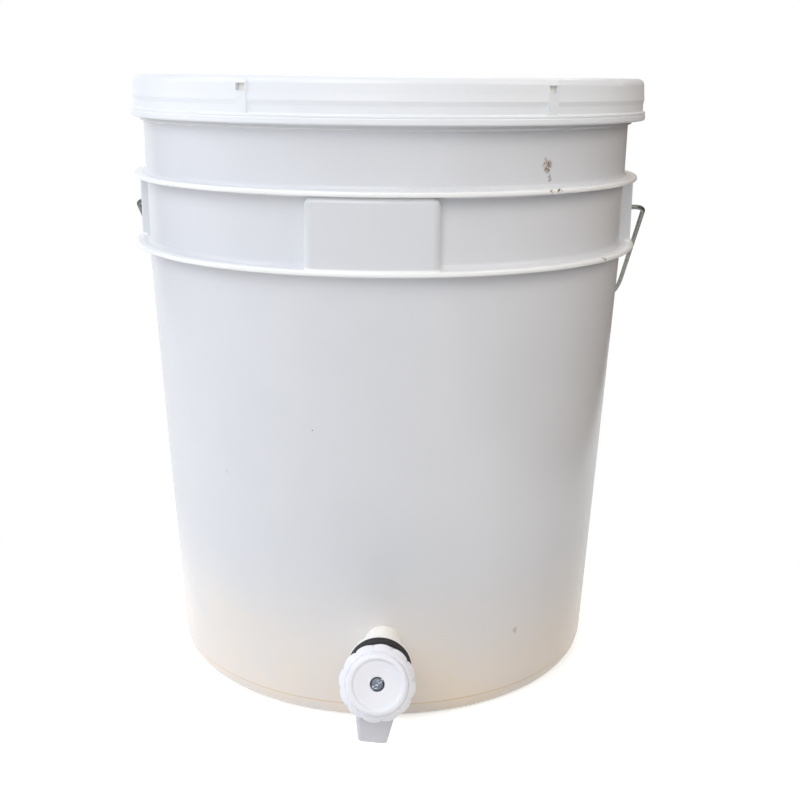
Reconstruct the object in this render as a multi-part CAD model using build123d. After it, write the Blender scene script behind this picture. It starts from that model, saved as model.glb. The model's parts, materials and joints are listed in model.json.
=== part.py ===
from build123d import *
from math import cos, degrees, radians, sin
import os

# A 20 litre moulded pail with a press-on lid, a wire bail and a screw-down tap.
# Sizes are in millimetres. The origin is the middle of the base and +Z is up.
# The thick label pad between the two flanges faces -Y, and the bail ears are on +X and -X.

# Pail wall and base
WALL = 2.2                  # wall thickness
WALL_R0 = 132.45            # outer radius where the sloping wall would meet the floor
TAPER = 0.0521              # outer radius gained for each millimetre of height
FLOOR = 4.5                 # top of the base inside the pail
BASE_RECESS = 2.0           # how far the base panel stands clear of the ground
FOOT_IN_R = 108.0           # inner radius of the foot ring
FOOT_TOP = 10.5             # height of the small step above the foot
FOOT_ROUND = 10.3           # large outer round of the foot
FOOT_STEP = 0.45            # how far the foot is drawn in under the step
GATE_R = 18.0               # moulding gate disc in the middle of the base
BASE_RIBS = 6
RIB_THICK = 3.0

# Flanges, neck and rim
FLANGE_R = 154.0
FLANGE_T = 2.7
LOW_FLANGE = 263.9          # underside of the lower flange
TOP_FLANGE = 304.4          # underside of the upper flange
BAND_R = 145.7              # wall between the flanges
NECK_R = 146.6              # wall between the upper flange and the collar
COLLAR_R = 149.3            # stop collar just under the lid
COLLAR_Z = 337.0
COLLAR_T = 4.2
RIM_R = 147.2
RIM_BEAD_R = 149.9          # bead that the lid snaps over
RIM_BEAD_Z = 347.6
RIM_TOP = 359.6
MOUTH_R = 144.6             # inner radius at the rim

# Label pad and bail ears
PAD_HALF_ANGLE = 13.7
PAD_R = 152.3
PAD_TOP = TOP_FLANGE - 0.25 # a hair under the upper flange
PAD_ROUND = 3.0             # pillow edge along the top
PAD_END_ROUND = 4.6         # and at the ends
EAR_OUT = 151.8             # flat outer face of an ear, along X
EAR_WIDTH = 25.0
PIVOT_Z = 286.0
EAR_HOLE_DEPTH = 6.6
EAR_BOSS_R = 4.6
EAR_BOSS_T = 0.8

# Lid
LID_TOP = 363.3
LID_FOOT = 339.6            # lower edge of the skirt
LID_R = 155.0               # bead round the bottom of the skirt
LID_BEAD_H = 5.3
LID_BEAD_GROOVE = 3.5       # fine groove in the bead, above the lower edge
LID_BAND_H = 5.4            # slightly sunken band above the bead
LID_LEDGE = 0.5             # soft swelling above that band
SKIRT_R = 153.6
SKIRT_IN_R = 152.2
SNAP_R = 151.8              # inner lip of the skirt, drawn back to pass the rim bead
PLUG_R = 142.7              # wall that enters the mouth of the pail
PLUG_T = 2.4
CHANNEL_TOP = 361.2         # roof of the channel that covers the rim
PANEL_TOP = 353.6
PANEL_T = 2.2
STACK_RING_R = 104.0
STACK_RING_W = 5.0
STACK_RING_H = 1.6
TAB_PAIRS = 3
TAB_SPREAD = 62.2           # degrees between the two tabs of a pair
LID_TURN = 4.6              # how far the lid is turned from the pail
LID_SHIFT = 1.5             # and how far it sits off the middle, towards +X
TAB_W = 6.6
TAB_R = 154.3
TAB_TOP = 362.2
TAB_ROUND = 3.0             # rolls in at the top with the lid's edge
WINDOW_W = 5.6
WINDOW_LOW = 355.7
WINDOW_H = 3.8
GUSSETS = 24
GUSSET_T = 2.4
GUSSET_REACH = 9.0
GUSSET_H = 6.5
GASKET_IN_R = 144.2
GASKET_LIP_R = 150.6        # outer lip that hangs behind the windows
GASKET_OUT_R = 152.0
GASKET_LIP_LOW = 354.9

# Bail and grip
WIRE_D = 2.9
EAR_CLEARANCE = 0.08        # radial, wire in the ear hole and in the grip
LEG_X = 159.2               # half the distance between the two legs
BAIL_TIP_X = 147.6          # half the distance between the two ends
BAIL_SHIFT = 2.0            # the bail has slipped sideways in its ears, towards +X
BAIL_REACH = 186.5          # from the pivot to the middle of the grip
BAIL_CORNER = 87.0          # large bends of the bail
BAIL_HOOK = 5.0             # small bend beside each ear
BAIL_REST = 54.0            # degrees from straight down, towards the back, where it lies on the wall
GRIP_LENGTH = 90.0
GRIP_R = 8.2
GRIP_END_R = 9.4
GRIP_END_L = 5.0
GRIP_GROOVES = 5
GROOVE_R = 1.7

# Tap connector. Distances along the tap are measured outwards from the face of the pail wall.
TAP_Z = 51.3                # height of the tap's axis at the wall
TAP_AZIMUTH = 2.6           # degrees from the middle of the label pad, towards +X
TAP_TURN = 2.8              # the tap stands a little askew, turned towards -X
TAP_LEAN = 4.5              # and was tightened a little past upright
TAIL_R = 10.1               # half-inch tail through the wall
TAIL_END = -24.0
HOLE_R = 10.3
BARREL_R = 10.7
FLARE_START = 19.6
TAP_FLANGE_R = 17.3
TAP_FLANGE_BACK = 25.1
TAP_FLANGE_FRONT = 27.8
INLET_R = 6.0
SOCKET_R = 8.6              # takes the spigot of the tap body
SOCKET_BACK = 12.0
RING_R = 17.4
RING_FRONT = 34.4           # front of the thick black ring
SEAL_BACK = -6.5
SEAL_R = 17.0
SLIP_WASHER_T = 2.0
NUT_FLATS = 31.0
NUT_T = 8.0

# Tap body, along the same axis
SPIGOT_R = 8.5
SPIGOT_BACK = 14.0
BODY_FLANGE_R = 16.3
BODY_FLANGE_T = 2.5
BODY_R = 11.5
BODY_END = 46.0
BODY_BORE_R = 5.0
SPOUT_AXIS = 49.0           # spout bore, measured out from the wall
SPOUT_DROP = 30.0           # outlet below the tap's axis
SPOUT_BREAK = 17.5          # where the spout starts to draw in
SPOUT_ROOT = 15.0           # width and depth inside the body
SPOUT_WIDTH = 20.2
SPOUT_DEPTH = 16.0
SPOUT_END_WIDTH = 15.8
SPOUT_END_DEPTH = 13.6
SPOUT_ROUND = 2.6
SPOUT_BORE_R = 4.6
OUTLET_R = 5.0
OUTLET_DEPTH = 12.0

# Tap head. Its axis slopes up from the tap's axis, and heights are measured along it.
HEAD_START = 39.5           # where the two axes cross
HEAD_TILT = 20.0
HEAD_END = 15.5             # end of the collar that takes the bonnet
SEAT_R = 7.0
SEAT_FACE = 1.5
CHAMBER_R = 8.5
CHAMBER_BACK = 0.3
BONNET_R = 8.4
BONNET_BACK = 12.4          # leaves room for the valve to open
BONNET_FLANGE_R = 12.5
BONNET_FLANGE_T = 3.0
BONNET_NOSE_R = 7.2
BONNET_NOSE = 22.4
BONNET_SEAL_R = 9.0         # face seal under the bonnet's flange
BONNET_SEAL_W = 1.9
BONNET_SEAL_T = 1.2
RUNNING = 0.08              # radial clearance of turning parts
THREAD_R = 4.5
THREAD_END = 18.2
LIFT = 4.5                  # how far one and a half turns draw the valve off its seat
SPINDLE_R = 3.75
O_RING_T = 1.8
O_RING_PLACE = 20.3
JUMPER_R = 7.2
JUMPER_BACK = 4.0
JUMPER_FRONT = 7.5
STEM_R = 2.5
STEM_END = 14.0
WASHER_R = 6.8
VALVE_SCREW_R = 1.5
VALVE_HEAD_R = 3.1
VALVE_HEAD_T = 2.0
SPINDLE_BACK = 7.7
SPINDLE_SQUARE = 5.6
SQUARE_BACK = 22.6
SPINDLE_FRONT = 24.8

# Knob and its screw, along the head's axis
KNOB_LOBES = 12
KNOB_VALLEY_R = 18.9
KNOB_PEAK_R = 20.0
KNOB_TURN = -3.4            # angle of the first lobe, seen from the front
KNOB_BACK = 23.7
KNOB_FRONT = 29.6
KNOB_SLOPE = 1.7            # fall of the smooth shoulder between the cap and the lobes
KNOB_HUB_R = 6.2
KNOB_SKIN = 2.2
CAP_R = 16.1
CAP_FRONT = 32.0
DISH_R = 12.8
DISH_FLOOR = 30.2
COUNTERBORE_R = 3.8
SCREW_SEAT = 26.0
SCREW_HEAD_R = 3.5
SCREW_HEAD_T = 2.6
SCREW_R = 2.0
SCREW_END = 16.5
SLOT_W = 0.9
SLOT_DEPTH = 1.1
SLOT_ANGLE = 49.5
SPRING_WASHER_T = 0.8

HEAD = Pos(0, 0, HEAD_START) * Rot(X=-HEAD_TILT)


def wall_r(z):
    """Outer radius of the sloping pail wall at a height."""
    return WALL_R0 + TAPER * z


def turned(points, arc=360):
    """Turn a closed outline of (radius, height, corner round) points about Z."""
    corners = [(r, 0, z) for r, z, _ in points]
    rounds = [corner for _, _, corner in points]
    outline = FilletPolyline(*corners, radius=rounds, close=True)
    return revolve(make_face(outline), Axis.Z, arc)


def tube(inner_r, outer_r, low, high, corner=0):
    """Plain ring about Z."""
    return turned([
        (inner_r, low, 0),
        (outer_r, low, corner),
        (outer_r, high, corner),
        (inner_r, high, 0),
    ])


def rod(radius, low, high, corner=0):
    """Plain round bar about Z."""
    return turned([(0, low, 0), (radius, low, corner), (radius, high, corner), (0, high, 0)])


def on_tap(solid):
    """Carry a solid made along +Z out to the tap, with its +Y pointing up the wall."""
    face = Plane((0, -wall_r(TAP_Z), TAP_Z), x_dir=(1, 0, 0), z_dir=(0, -1, 0))
    return Rot(Z=TAP_AZIMUTH) * face.location * Rot(Y=-TAP_TURN) * Rot(Z=-TAP_LEAN) * solid


def wall_cone(thickness):
    """Solid cone inside the sloping wall, in the region of the tap."""
    low, high = FOOT_TOP + 1, LOW_FLANGE / 2
    return turned([
        (0, low, 0),
        (wall_r(low) - thickness, low, 0),
        (wall_r(high) - thickness, high, 0),
        (0, high, 0),
    ])


def pail_shell():
    """Turned wall of the pail, from the foot to the rim, with both flanges."""
    edge = FLANGE_T * 0.42
    foot_r = wall_r(0) - FOOT_STEP
    step = FOOT_TOP + FOOT_STEP
    bead_low = RIM_BEAD_Z + 0.8
    bead_high = RIM_BEAD_Z + 3.2
    return turned([
        (0, 0, 0),
        (GATE_R, 0, 0.5),
        (GATE_R, BASE_RECESS, 0.5),
        (FOOT_IN_R, BASE_RECESS, 0.5),
        (FOOT_IN_R, 0, 0.5),
        (foot_r, 0, FOOT_ROUND),
        (foot_r + TAPER * FOOT_TOP, FOOT_TOP, 0),
        (wall_r(step), step, 0),
        (wall_r(LOW_FLANGE), LOW_FLANGE, 1.2),
        (FLANGE_R, LOW_FLANGE, edge),
        (FLANGE_R, LOW_FLANGE + FLANGE_T, edge),
        (BAND_R, LOW_FLANGE + FLANGE_T, 3.0),
        (BAND_R + 0.3, TOP_FLANGE, 1.2),
        (FLANGE_R, TOP_FLANGE, edge),
        (FLANGE_R, TOP_FLANGE + FLANGE_T, edge),
        (NECK_R - 0.2, TOP_FLANGE + FLANGE_T, 2.5),
        (NECK_R + 0.2, COLLAR_Z, 0.5),
        (COLLAR_R - 0.5, COLLAR_Z + 0.5, 0.5),
        (COLLAR_R, COLLAR_Z + COLLAR_T, 0.6),
        (RIM_R, COLLAR_Z + COLLAR_T + 1, 0.4),
        (RIM_R, RIM_BEAD_Z, 0.4),
        (RIM_BEAD_R, bead_low, 0.6),
        (RIM_BEAD_R, bead_high, 0.8),
        (RIM_R, bead_high + 3.6, 0.8),
        (RIM_R, RIM_TOP, 0.8),
        (MOUTH_R, RIM_TOP, 0.8),
        (wall_r(LOW_FLANGE) - WALL, LOW_FLANGE, 0),
        (wall_r(FLOOR) - WALL, FLOOR, FOOT_ROUND - WALL / 2),
        (0, FLOOR, 0),
    ])


def base_ribs():
    """Radial ribs under the base, from the gate disc to the foot ring."""
    length = FOOT_IN_R - GATE_R + 2
    rib = Box(length, RIB_THICK, BASE_RECESS, align=(Align.CENTER, Align.CENTER, Align.MIN))
    return [place * rib for place in PolarLocations((FOOT_IN_R + GATE_R) / 2, BASE_RIBS)]


def label_pad():
    """Thick pillow-edged pad at the front, standing on the lower flange."""
    low = LOW_FLANGE + FLANGE_T / 2
    pad = turned([
        (BAND_R - WALL / 2, low, 0),
        (PAD_R, low, 0),
        (PAD_R, PAD_TOP, PAD_ROUND),
        (BAND_R - WALL / 2, PAD_TOP, 0),
    ], 2 * PAD_HALF_ANGLE)
    upright = pad.edges().filter_by(Axis.Z)
    ends = [edge for edge in upright if edge.distance_to((0, 0, PAD_TOP)) > PAD_R - 1]
    return Rot(Z=-90 - PAD_HALF_ANGLE) * fillet(ends, PAD_END_ROUND)


def bail_ear():
    """Block between the flanges at +X, and the blind hole in it for one end of the bail."""
    low, high = LOW_FLANGE + FLANGE_T / 2, TOP_FLANGE + FLANGE_T / 2
    inner = BAND_R - WALL / 2
    block = Pos((inner + EAR_OUT) / 2, 0, (low + high) / 2) * Box(EAR_OUT - inner, EAR_WIDTH, high - low)
    block = fillet(block.edges().filter_by(Axis.Z).group_by(Axis.X)[-1], 1.0)
    along_x = Pos(EAR_OUT, 0, PIVOT_Z) * Rot(Y=90)
    ear = block + along_x * rod(EAR_BOSS_R, -1, EAR_BOSS_T, 0.4)
    hole = along_x * rod(WIRE_D / 2 + EAR_CLEARANCE, -EAR_HOLE_DEPTH, EAR_BOSS_T + 1)
    return ear, hole


def pail_body():
    """The whole pail moulding, with the bail's holes and the hole drilled for the tap."""
    ear, ear_hole = bail_ear()
    pail = pail_shell() + base_ribs() + label_pad() + ear + mirror(ear, Plane.YZ)
    pail -= [ear_hole, mirror(ear_hole, Plane.YZ)]
    return pail - on_tap(rod(HOLE_R, -2 * WALL - 2, 2 * WALL))


def lid_shell():
    """Turned lid: skirt with its bottom bead, rim channel, plug wall and sunken panel."""
    band_low = LID_FOOT + LID_BEAD_H
    bead_groove = LID_FOOT + LID_BEAD_GROOVE
    ledge = band_low + LID_BAND_H
    ledge_top = ledge + 4.6
    plug_low = PANEL_TOP - PANEL_T - 1.2
    ring_in = STACK_RING_R - STACK_RING_W
    return turned([
        (SKIRT_IN_R + 0.8, LID_FOOT, 0.5),
        (LID_R, LID_FOOT, 1.2),
        (LID_R, bead_groove - 0.4, 0.8),
        (LID_R - 0.35, bead_groove, 0.2),
        (LID_R - 0.1, bead_groove + 0.4, 0.3),
        (LID_R - 0.2, band_low - 0.3, 0.6),
        (SKIRT_R - 0.1, band_low, 0.4),
        (SKIRT_R - 0.1, ledge - 1.3, 1.5),
        (SKIRT_R + LID_LEDGE, ledge + 1.1, 1.2),
        (SKIRT_R + 0.1, ledge_top, 3.0),
        (SKIRT_R - 0.3, LID_TOP, 4.0),
        (PLUG_R - PLUG_T, LID_TOP, 2.2),
        (PLUG_R - PLUG_T - 0.6, PANEL_TOP, 2.0),
        (STACK_RING_R, PANEL_TOP, 0.6),
        (STACK_RING_R - 0.6, PANEL_TOP + STACK_RING_H, 0.6),
        (ring_in + 0.6, PANEL_TOP + STACK_RING_H, 0.6),
        (ring_in, PANEL_TOP, 0.6),
        (0, PANEL_TOP, 0),
        (0, PANEL_TOP - PANEL_T, 0),
        (PLUG_R - PLUG_T - 0.6, PANEL_TOP - PANEL_T, 0.8),
        (PLUG_R - PLUG_T, plug_low, 0.5),
        (PLUG_R - 0.4, plug_low, 0.8),
        (PLUG_R, CHANNEL_TOP, 0.8),
        (SKIRT_IN_R, CHANNEL_TOP, 1.0),
        (SKIRT_IN_R, LID_FOOT + 7.4, 0.4),
        (SNAP_R, LID_FOOT + 6.4, 0.4),
        (SNAP_R, LID_FOOT + 5.0, 0.4),
        (SKIRT_IN_R + 0.6, LID_FOOT + 3.8, 0.4),
    ])


def lid_tab():
    """One upright strip on the skirt at +X, and the small window cut near its top."""
    low = LID_FOOT + LID_BEAD_H - 0.3
    inner, neck = SKIRT_R - 0.6, SKIRT_R - 2.4
    half_angle = degrees(TAB_W / 2 / TAB_R)
    strip = Rot(Z=-half_angle) * turned([
        (inner, low, 0),
        (TAB_R, low, 0),
        (TAB_R, TAB_TOP, TAB_ROUND),
        (neck, TAB_TOP, 0),
        (neck, CHANNEL_TOP + 0.8, 0),
        (inner, CHANNEL_TOP - 0.6, 0),
    ], 2 * half_angle)
    window = Pos(TAB_R, 0, WINDOW_LOW + WINDOW_H / 2) * Box(10, WINDOW_W, WINDOW_H)
    return strip, window


def lid_gusset():
    """Small triangular web between the plug wall and the sunken panel, at +X."""
    foot = PLUG_R - PLUG_T + 0.5
    corners = [
        (foot, 0, PANEL_TOP - 0.5),
        (foot, 0, PANEL_TOP + GUSSET_H),
        (foot - 2, 0, PANEL_TOP + GUSSET_H),
        (foot - GUSSET_REACH, 0, PANEL_TOP),
        (foot - GUSSET_REACH, 0, PANEL_TOP - 0.5),
    ]
    return extrude(make_face(Polyline(*corners, close=True)), GUSSET_T / 2, both=True)


def pail_lid():
    """The lid moulding with its tabs, windows and gussets."""
    strip, window = lid_tab()
    middles = [-90 + i * 360 / TAB_PAIRS for i in range(TAB_PAIRS)]
    turns = [Rot(Z=middle + side * TAB_SPREAD / 2) for middle in middles for side in (-1, 1)]
    lid = lid_shell() - [turn * window for turn in turns]
    lid += [turn * (strip - window) for turn in turns]
    gusset = lid_gusset()
    lid += [Rot(Z=i * 360 / GUSSETS) * gusset for i in range(GUSSETS)]
    return Pos(X=LID_SHIFT) * Rot(Z=LID_TURN) * lid


def lid_gasket():
    """Soft seal on the rim, with a lip that hangs behind the lid's windows."""
    seal = turned([
        (GASKET_IN_R, RIM_TOP, 0.4),
        (GASKET_LIP_R, RIM_TOP, 0.4),
        (GASKET_LIP_R, GASKET_LIP_LOW, 0.4),
        (GASKET_OUT_R, GASKET_LIP_LOW, 0.4),
        (GASKET_OUT_R, CHANNEL_TOP, 1.2),
        (GASKET_IN_R, CHANNEL_TOP, 0.4),
    ])
    return Pos(X=LID_SHIFT) * seal


def bail_wire():
    """Galvanised wire bail, lying back against the pail wall."""
    back = Vector(0, sin(radians(BAIL_REST)), -cos(radians(BAIL_REST)))
    pivot = Vector(BAIL_SHIFT, 0, PIVOT_Z)
    tip = Vector(BAIL_TIP_X, 0, 0)
    leg = Vector(LEG_X, 0, 0)
    reach = back * BAIL_REACH
    corners = [tip, leg, leg + reach, reach - leg, leg * -1, tip * -1]
    rounds = [BAIL_HOOK, BAIL_CORNER, BAIL_CORNER, BAIL_HOOK]
    path = FilletPolyline(*[pivot + corner for corner in corners], radius=rounds)
    section = Plane(path @ 0, z_dir=path % 0) * Circle(WIRE_D / 2)
    return sweep(section, path)


def bail_grip():
    """Moulded roller that turns on the straight middle of the bail."""
    half = GRIP_LENGTH / 2
    neck = half - GRIP_END_L
    pitch = 2 * neck / (GRIP_GROOVES + 1)
    grip = turned([
        (WIRE_D / 2 + EAR_CLEARANCE, -half, 0),
        (GRIP_END_R, -half, 1.2),
        (GRIP_END_R, -neck, 1.2),
        (GRIP_R, -neck + 1.5, 0.8),
        (GRIP_R, neck - 1.5, 0.8),
        (GRIP_END_R, neck, 1.2),
        (GRIP_END_R, half, 1.2),
        (WIRE_D / 2 + EAR_CLEARANCE, half, 0),
    ])
    groove = Torus(GRIP_R + GROOVE_R / 2, GROOVE_R)
    grip -= [Pos(Z=-neck + (i + 1) * pitch) * groove for i in range(GRIP_GROOVES)]
    middle = Vector(0, sin(radians(BAIL_REST)), -cos(radians(BAIL_REST))) * BAIL_REACH
    return Pos(Vector(BAIL_SHIFT, 0, PIVOT_Z) + middle) * Rot(Y=90) * grip


def tap_connector():
    """White neck through the wall: threaded tail, barrel, and the flange that carries the ring."""
    neck = turned([
        (INLET_R, TAIL_END, 0),
        (TAIL_R, TAIL_END, 0.8),
        (TAIL_R, -WALL, 0),
        (BARREL_R, -WALL, 0),
        (BARREL_R, FLARE_START, 4.0),
        (TAP_FLANGE_R - 0.3, TAP_FLANGE_BACK, 0.5),
        (TAP_FLANGE_R, TAP_FLANGE_BACK + 0.5, 0.3),
        (TAP_FLANGE_R, TAP_FLANGE_FRONT, 0.4),
        (SOCKET_R, TAP_FLANGE_FRONT, 0),
        (SOCKET_R, SOCKET_BACK, 0),
        (INLET_R, SOCKET_BACK, 0),
    ])
    shoulder = on_tap(tube(HOLE_R - 0.1, BARREL_R + 1, -2 * WALL, 2 * WALL))
    return on_tap(neck) - (shoulder & wall_cone(0))


def spout():
    """Tapered square spout below the body, without its bore."""
    def section(drop, width, depth, out):
        level = Plane((0, -drop, out), x_dir=(1, 0, 0), z_dir=(0, -1, 0))
        return level * RectangleRounded(width, depth, SPOUT_ROUND)
    root = section(0, SPOUT_ROOT, SPOUT_ROOT, SPOUT_AXIS - 3)
    shoulder = section(SPOUT_BREAK, SPOUT_WIDTH, SPOUT_DEPTH, SPOUT_AXIS)
    outlet = section(SPOUT_DROP, SPOUT_END_WIDTH, SPOUT_END_DEPTH, SPOUT_AXIS + 0.8)
    return loft([root, shoulder, outlet], ruled=True)


def tap_body():
    """Tap moulding: spigot, flange, barrel, sloping head with the valve seat, and spout."""
    flange_front = RING_FRONT + BODY_FLANGE_T
    body = turned([
        (0, SPIGOT_BACK, 0),
        (SPIGOT_R, SPIGOT_BACK, 0.6),
        (SPIGOT_R, RING_FRONT, 0),
        (BODY_FLANGE_R, RING_FRONT, 0.4),
        (BODY_FLANGE_R, flange_front, 0.8),
        (BODY_R, flange_front, 0.8),
        (BODY_R, BODY_END, 2.0),
        (0, BODY_END, 0),
    ])
    body += HEAD * rod(BODY_R, 0, HEAD_END, 0.5)
    body += spout()
    chamber = turned([
        (0, SEAT_FACE, 0),
        (SEAT_R, SEAT_FACE, 0),
        (SEAT_R, CHAMBER_BACK, 0),
        (CHAMBER_R, CHAMBER_BACK, 0),
        (CHAMBER_R, HEAD_END + 1, 0),
        (0, HEAD_END + 1, 0),
    ])
    downwards = Pos(0, 0, SPOUT_AXIS) * Rot(X=90)
    body -= rod(BODY_BORE_R, SPIGOT_BACK - 1, BODY_END - 3)
    body -= HEAD * chamber
    body -= downwards * rod(SPOUT_BORE_R, 3, SPOUT_DROP)
    body -= downwards * rod(OUTLET_R, SPOUT_DROP - OUTLET_DEPTH, SPOUT_DROP + 1)
    return on_tap(body)


def inner_seal():
    """Rubber washer that beds against the curved inside of the wall."""
    return on_tap(tube(HOLE_R, SEAL_R, SEAL_BACK, 1, 0)) & wall_cone(WALL)


def back_nut():
    """Hexagon nut on the tail, inside the pail."""
    front = SEAL_BACK - SLIP_WASHER_T
    blank = Pos(Z=front - NUT_T) * extrude(RegularPolygon(NUT_FLATS / 2, 6, major_radius=False), NUT_T)
    corners = turned([
        (0, front - NUT_T, 0),
        (NUT_FLATS / 2 + 0.4, front - NUT_T, 0),
        (NUT_FLATS / 2 + 3.4, front - NUT_T + 1.6, 0),
        (NUT_FLATS / 2 + 3.4, front, 0),
        (0, front, 0),
    ])
    return (blank & corners) - rod(TAIL_R + 0.1, front - NUT_T - 1, front + 1)


def bonnet():
    """Headwork that screws into the tap body and carries the spindle."""
    flange_front = HEAD_END + BONNET_FLANGE_T
    body = turned([
        (0, BONNET_BACK, 0),
        (BONNET_R, BONNET_BACK, 0.6),
        (BONNET_R, HEAD_END, 0),
        (BONNET_FLANGE_R, HEAD_END, 0.5),
        (BONNET_FLANGE_R, flange_front, 1.0),
        (BONNET_NOSE_R, flange_front, 1.0),
        (BONNET_NOSE_R, BONNET_NOSE, 0.8),
        (0, BONNET_NOSE, 0),
    ])
    body -= rod(THREAD_R + RUNNING, BONNET_BACK - 1, THREAD_END)
    body -= rod(SPINDLE_R + RUNNING, THREAD_END - 1, BONNET_NOSE + 1)
    body -= rod(SPINDLE_R + RUNNING + O_RING_T, O_RING_PLACE - O_RING_T / 2, O_RING_PLACE + O_RING_T / 2)
    return body - bonnet_o_ring()


def spindle_o_ring():
    """Ring in the bonnet that seals the spindle."""
    inner_r = SPINDLE_R + RUNNING
    low, high = O_RING_PLACE - O_RING_T / 2, O_RING_PLACE + O_RING_T / 2
    return tube(inner_r, inner_r + O_RING_T - 0.05, low, high, 0.5)


def bonnet_o_ring():
    """Ring that seals the bonnet's flange on the end of the tap body."""
    return tube(BONNET_SEAL_R, BONNET_SEAL_R + BONNET_SEAL_W, HEAD_END, HEAD_END + BONNET_SEAL_T)


def jumper():
    """Valve plate with a stem that floats in the end of the spindle."""
    plate = turned([
        (0, JUMPER_BACK, 0),
        (JUMPER_R, JUMPER_BACK, 0.3),
        (JUMPER_R, JUMPER_FRONT, 0.6),
        (STEM_R, JUMPER_FRONT, 0),
        (STEM_R, STEM_END, 0.4),
        (0, STEM_END, 0),
    ])
    return plate - rod(VALVE_SCREW_R + 0.05, JUMPER_BACK - 1, JUMPER_FRONT + 1)


def valve_screw():
    """Small screw that holds the valve washer on the jumper."""
    tip = SEAT_FACE - VALVE_HEAD_T
    head = turned([
        (0, tip, 0),
        (VALVE_HEAD_R, tip, 1.0),
        (VALVE_HEAD_R, SEAT_FACE, 0),
        (0, SEAT_FACE, 0),
    ])
    slot = Pos(Z=tip) * Box(3 * VALVE_HEAD_R, SLOT_W, VALVE_HEAD_T)
    return head + rod(VALVE_SCREW_R, SEAT_FACE - 0.1, JUMPER_FRONT) - slot


def square_bar(side, low, high):
    """Square bar about Z."""
    return Pos(Z=(low + high) / 2) * Box(side, side, high - low)


def spindle():
    """Screw spindle: thread, sealing journal and the square that drives the knob."""
    bar = rod(THREAD_R, SPINDLE_BACK, THREAD_END - LIFT - 0.5, 0.5)
    bar += rod(SPINDLE_R, SPINDLE_BACK + 1, SQUARE_BACK)
    square = square_bar(SPINDLE_SQUARE, SQUARE_BACK, SPINDLE_FRONT)
    bar += rod(SPINDLE_R, SQUARE_BACK, SPINDLE_FRONT, 0.4) & square
    bar -= rod(STEM_R + RUNNING, SPINDLE_BACK - 1, STEM_END + 0.4)
    return Rot(Z=KNOB_TURN) * (bar - rod(SCREW_R + 0.05, SCREW_END - 1, SPINDLE_FRONT + 1))


def lobed_disc(low, high):
    """Disc with an outline of rounded lobes."""
    step = 360 / KNOB_LOBES
    arcs = []
    for i in range(KNOB_LOBES):
        start, middle, end = ((i + k) * step for k in (-0.5, 0, 0.5))
        arcs.append(ThreePointArc(
            (KNOB_VALLEY_R * cos(radians(start)), KNOB_VALLEY_R * sin(radians(start))),
            (KNOB_PEAK_R * cos(radians(middle)), KNOB_PEAK_R * sin(radians(middle))),
            (KNOB_VALLEY_R * cos(radians(end)), KNOB_VALLEY_R * sin(radians(end))),
        ))
    return Pos(Z=low) * extrude(make_face(arcs), high - low)


def knob():
    """Lobed hand knob with a raised rim round a dished front."""
    limit = turned([
        (0, KNOB_BACK, 0),
        (KNOB_PEAK_R, KNOB_BACK, 0.7),
        (KNOB_PEAK_R, KNOB_FRONT - 2 * KNOB_SLOPE, 0.9),
        (KNOB_VALLEY_R - 0.5, KNOB_FRONT - KNOB_SLOPE, 0.6),
        (CAP_R, KNOB_FRONT, 0),
        (0, KNOB_FRONT, 0),
    ])
    cap = turned([
        (0, KNOB_FRONT - 1, 0),
        (CAP_R, KNOB_FRONT - 1, 0),
        (CAP_R, CAP_FRONT, 1.9),
        (DISH_R + 0.3, CAP_FRONT, 1.0),
        (DISH_R - 0.4, DISH_FLOOR, 0.9),
        (0, DISH_FLOOR, 0),
    ])
    body = (lobed_disc(KNOB_BACK, KNOB_FRONT) & limit) + cap
    body -= tube(KNOB_HUB_R, KNOB_VALLEY_R - KNOB_SKIN, KNOB_BACK - 1, KNOB_FRONT - KNOB_SKIN, 0.8)
    body -= rod(COUNTERBORE_R, SCREW_SEAT, CAP_FRONT + 1)
    body -= rod(SCREW_R + 0.2, SQUARE_BACK, SCREW_SEAT + 1)
    body -= square_bar(SPINDLE_SQUARE + 0.1, SQUARE_BACK, SPINDLE_FRONT + 0.1)
    return Rot(Z=KNOB_TURN) * body


def knob_screw():
    """Slotted steel screw down the middle of the knob."""
    seat = SCREW_SEAT + SPRING_WASHER_T
    top = seat + SCREW_HEAD_T
    head = turned([(0, seat, 0), (SCREW_HEAD_R, seat, 0.3), (SCREW_HEAD_R, top, 0.9), (0, top, 0)])
    slot = Pos(Z=top) * Rot(Z=SLOT_ANGLE) * Box(3 * SCREW_HEAD_R, SLOT_W, 2 * SLOT_DEPTH)
    return head + rod(SCREW_R, SCREW_END, seat + 0.1, 0.4) - slot


def tap_pieces():
    """All pieces of the tap but its connector, body and inner seal, carried to the wall."""
    slip_low = SEAL_BACK - SLIP_WASHER_T
    washer_top = SCREW_SEAT + SPRING_WASHER_T
    on_barrel = {
        "tap_slip_washer": tube(TAIL_R + 0.1, SEAL_R - 0.5, slip_low, SEAL_BACK, 0.4),
        "tap_back_nut": back_nut(),
        "tap_flange_ring": tube(SPIGOT_R + 0.1, RING_R, TAP_FLANGE_FRONT, RING_FRONT, 0.9),
    }
    on_head = {
        "tap_bonnet": bonnet(),
        "bonnet_o_ring": bonnet_o_ring(),
        "spindle_o_ring": spindle_o_ring(),
        "valve_jumper": jumper(),
        "valve_washer": tube(VALVE_SCREW_R + 0.1, WASHER_R, SEAT_FACE, JUMPER_BACK, 0.4),
        "valve_screw": valve_screw(),
        "tap_spindle": spindle(),
        "tap_knob": knob(),
        "knob_screw": knob_screw(),
        "knob_spring_washer": tube(SCREW_R + 0.1, SCREW_HEAD_R - 0.1, SCREW_SEAT, washer_top, 0.15),
    }
    placed = {name: on_tap(piece) for name, piece in on_barrel.items()}
    placed.update({name: on_tap(HEAD * piece) for name, piece in on_head.items()})
    return placed


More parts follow.
